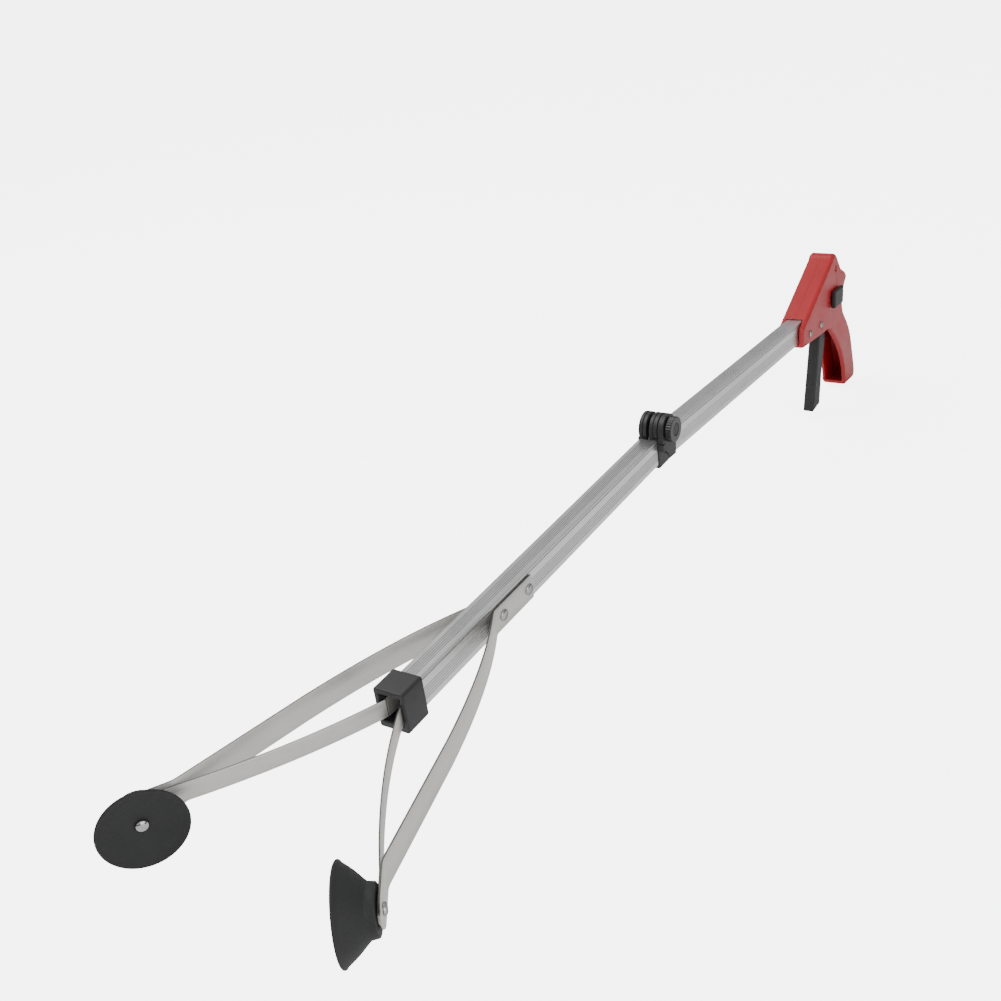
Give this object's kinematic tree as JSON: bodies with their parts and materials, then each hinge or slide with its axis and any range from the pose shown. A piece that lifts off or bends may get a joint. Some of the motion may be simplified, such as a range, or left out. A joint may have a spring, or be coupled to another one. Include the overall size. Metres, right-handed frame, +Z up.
{
  "type": "reacher grabber",
  "caption": "Folding pick-up reacher: pistol grip with trigger and jaw lock, hinged aluminium pole, and spring-steel arms that bring facing suction cups together.",
  "frame": {"origin": "on the flat underside of the front tube, in its middle plane, 60 mm in front of the fold hinge pin", "axes": "+X along the front tube towards the jaws, +Z up, +Y to the left, the side of the hinge knob and jaw lock"},
  "size_m": [0.7992, 0.1466, 0.1353],
  "materials": {
    "brushed_tube": "satin anodised extrusion with fine lengthwise grooves",
    "spring_strip": "lengthwise brushed",
    "rivet_steel": "polished",
    "steel_cable": "satin",
    "black_plastic": "moulded, slight sheen",
    "black_rubber": "matte moulded",
    "red_plastic": "semi-gloss moulded"
  },
  "bodies": {
    "front_half": {"front_tube": "brushed_tube", "nose_cap": "black_plastic", "front_hinge_fitting": "black_plastic", "hinge_pin": "rivet_steel", "hinge_cable": "steel_cable", "left_arm_root": "spring_strip", "right_arm_root": "spring_strip", "left_arm_rivet_front": "rivet_steel", "left_arm_rivet_rear": "rivet_steel", "right_arm_rivet_front": "rivet_steel", "right_arm_rivet_rear": "rivet_steel", "knob_spring": "steel_cable"},
    "knob": {"hinge_knob": "black_plastic", "knob_cap": "black_plastic"},
    "front_pull": {"cable_front": "steel_cable", "strip_clamp": "rivet_steel", "clamp_rivet": "rivet_steel", "left_strip_tail": "spring_strip", "right_strip_tail": "spring_strip"},
    "rear_half": {"rear_tube": "brushed_tube", "rear_hinge_fitting": "black_plastic", "left_handle_shell": "red_plastic", "right_handle_shell": "red_plastic", "trigger_pin": "red_plastic", "left_shell_rivet_front": "rivet_steel", "left_shell_rivet_rear": "rivet_steel", "right_shell_rivet_front": "rivet_steel", "right_shell_rivet_rear": "rivet_steel"},
    "rear_pull": {"cable_rear": "steel_cable", "cable_nipple": "rivet_steel"},
    "trigger_body": {"trigger": "black_plastic"},
    "lock_body": {"lock_slider": "black_plastic"},
    "left_arm_middle_body": {"left_arm_middle": "spring_strip"},
    "left_arm_tip_body": {"left_arm_tip": "spring_strip", "left_suction_cup": "black_rubber", "left_cup_rivet": "rivet_steel", "left_inner_strip_end": "spring_strip"},
    "left_inner_strip_body": {"left_inner_strip": "spring_strip"},
    "right_arm_middle_body": {"right_arm_middle": "spring_strip"},
    "right_arm_tip_body": {"right_arm_tip": "spring_strip", "right_suction_cup": "black_rubber", "right_cup_rivet": "rivet_steel", "right_inner_strip_end": "spring_strip"},
    "right_inner_strip_body": {"right_inner_strip": "spring_strip"}
  },
  "joints": [
    {"name": "fold", "type": "hinge", "parent": "front_half", "child": "rear_half", "pos_m": [-0.06, 0, 0.0225], "axis": [0, 1, 0], "range_deg": [0, 178], "deforming": ["hinge_cable"]},
    {"name": "trigger_squeeze", "type": "hinge", "parent": "rear_half", "child": "trigger_body", "pos_m": [-0.38992, 0, 0.0165], "axis": [0, 1, 0], "range_deg": [0, 22.3], "stiffness_Nm_per_rad": 2.3, "springref_deg": -11.46},
    {"name": "lock_slide", "type": "slide", "parent": "rear_half", "child": "lock_body", "axis": [0.997, 0, 0.0772], "range_m": [0, 0.012]},
    {"name": "knob_pull", "type": "slide", "parent": "front_half", "child": "knob", "axis": [0, 1, 0], "range_m": [0, 0.0035], "stiffness_N_per_m": 1000, "springref_m": -0.003, "deforming": ["knob_spring"]},
    {"name": "rear_cable_slide", "type": "slide", "parent": "rear_half", "child": "rear_pull", "axis": [-0.997, 0, -0.0772], "range_m": [0, 0.0143]},
    {"name": "front_cable_slide", "type": "slide", "parent": "front_half", "child": "front_pull", "axis": [-1, 0, 0], "range_m": [0, 0.0143]},
    {"name": "left_arm_flex_rear", "type": "hinge", "parent": "front_half", "child": "left_arm_middle_body", "pos_m": [0.1945, 0.02716, 0.00785], "axis": [0, 0, -1], "range_deg": [0, 10.9]},
    {"name": "left_arm_flex_front", "type": "hinge", "parent": "left_arm_middle_body", "child": "left_arm_tip_body", "pos_m": [0.2695, 0.04809, 0.00785], "axis": [0, 0, -1], "range_deg": [0, 23.3]},
    {"name": "left_inner_strip_flex", "type": "hinge", "parent": "left_arm_tip_body", "child": "left_inner_strip_body", "pos_m": [0.31844, 0.05976, 0.00785], "axis": [0, 0, 1], "range_deg": [0, 9.7]},
    {"name": "right_arm_flex_rear", "type": "hinge", "parent": "front_half", "child": "right_arm_middle_body", "pos_m": [0.1945, -0.02716, 0.00785], "axis": [0, 0, 1], "range_deg": [0, 10.9]},
    {"name": "right_arm_flex_front", "type": "hinge", "parent": "right_arm_middle_body", "child": "right_arm_tip_body", "pos_m": [0.2695, -0.04809, 0.00785], "axis": [0, 0, 1], "range_deg": [0, 23.3]},
    {"name": "right_inner_strip_flex", "type": "hinge", "parent": "right_arm_tip_body", "child": "right_inner_strip_body", "pos_m": [0.31844, -0.05976, 0.00785], "axis": [0, 0, -1], "range_deg": [0, 9.7]}
  ],
  "couplings": [
    {"joint": "rear_cable_slide", "follows": "trigger_squeeze", "m_per_rad": 0.036484},
    {"joint": "front_cable_slide", "follows": "trigger_squeeze", "m_per_rad": 0.036484},
    {"joint": "left_arm_flex_rear", "follows": "trigger_squeeze", "ratio": 0.48522},
    {"joint": "left_arm_flex_front", "follows": "trigger_squeeze", "ratio": 1.0394},
    {"joint": "left_inner_strip_flex", "follows": "trigger_squeeze", "ratio": 0.42951},
    {"joint": "right_arm_flex_rear", "follows": "trigger_squeeze", "ratio": 0.48522},
    {"joint": "right_arm_flex_front", "follows": "trigger_squeeze", "ratio": 1.0394},
    {"joint": "right_inner_strip_flex", "follows": "trigger_squeeze", "ratio": 0.42951}
  ]
}
